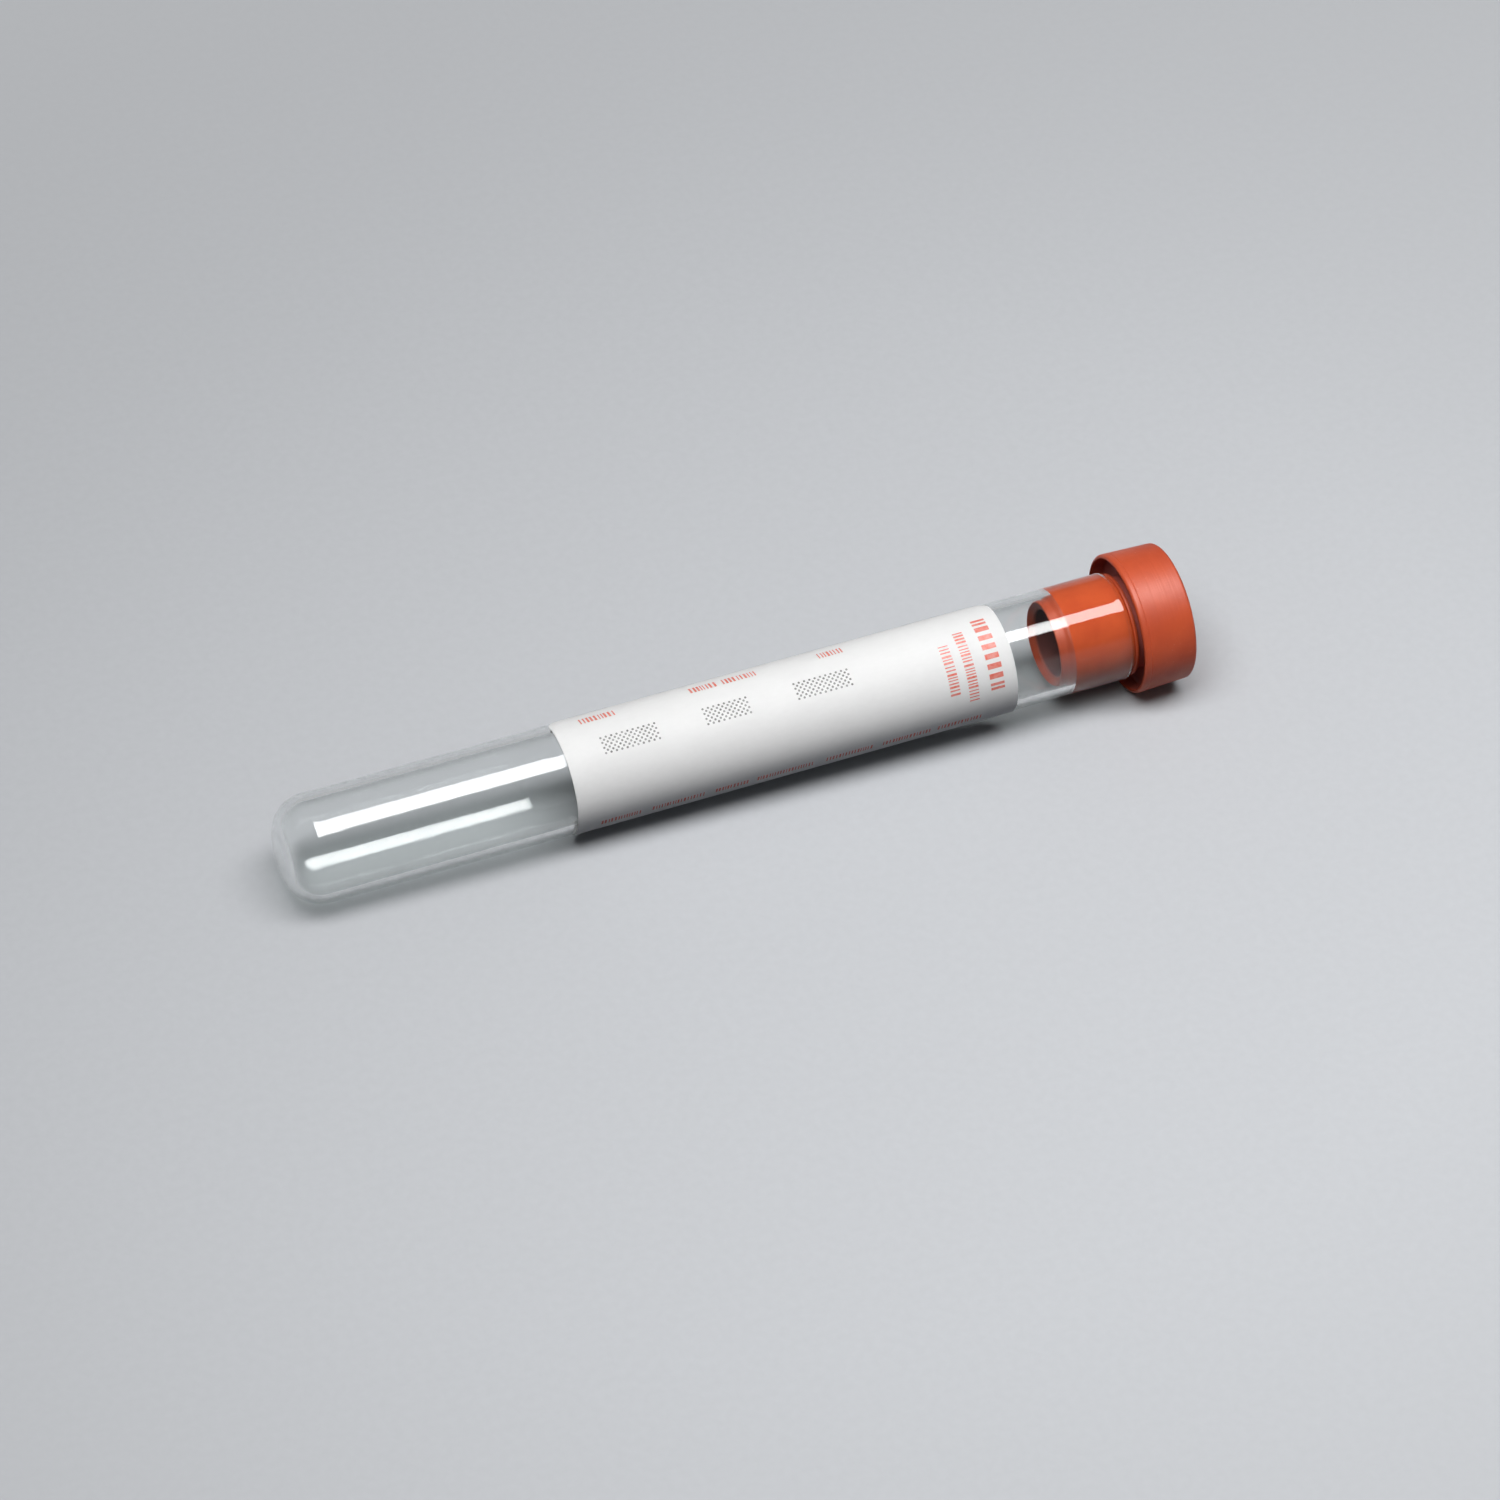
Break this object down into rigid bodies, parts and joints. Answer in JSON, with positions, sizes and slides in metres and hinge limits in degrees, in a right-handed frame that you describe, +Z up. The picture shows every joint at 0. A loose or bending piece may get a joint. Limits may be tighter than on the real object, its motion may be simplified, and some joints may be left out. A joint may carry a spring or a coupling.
{
  "type": "blood collection tube",
  "caption": "Evacuated glass blood collection tube with a red-orange rubber stopper and a white paper label, lying on its side.",
  "frame": {"origin": "on the surface that the tube lies on, below the middle of its length", "axes": "+X along the tube towards its stopper, +Z up, -Y the side that the label faces"},
  "size_m": [0.1096, 0.0166, 0.0167],
  "materials": {
    "glass": "clear polished glass",
    "rubber": "satin moulded rubber",
    "paper": "matt printed label paper"
  },
  "bodies": {
    "tube": {"glass_tube": "glass", "label": "paper"},
    "stopper": {"stopper": "rubber"}
  },
  "joints": [
    {"name": "stopper_pull", "type": "slide", "parent": "tube", "child": "stopper", "axis": [0.9998, 0, 0.02], "range_m": [0, 0.03]}
  ]
}
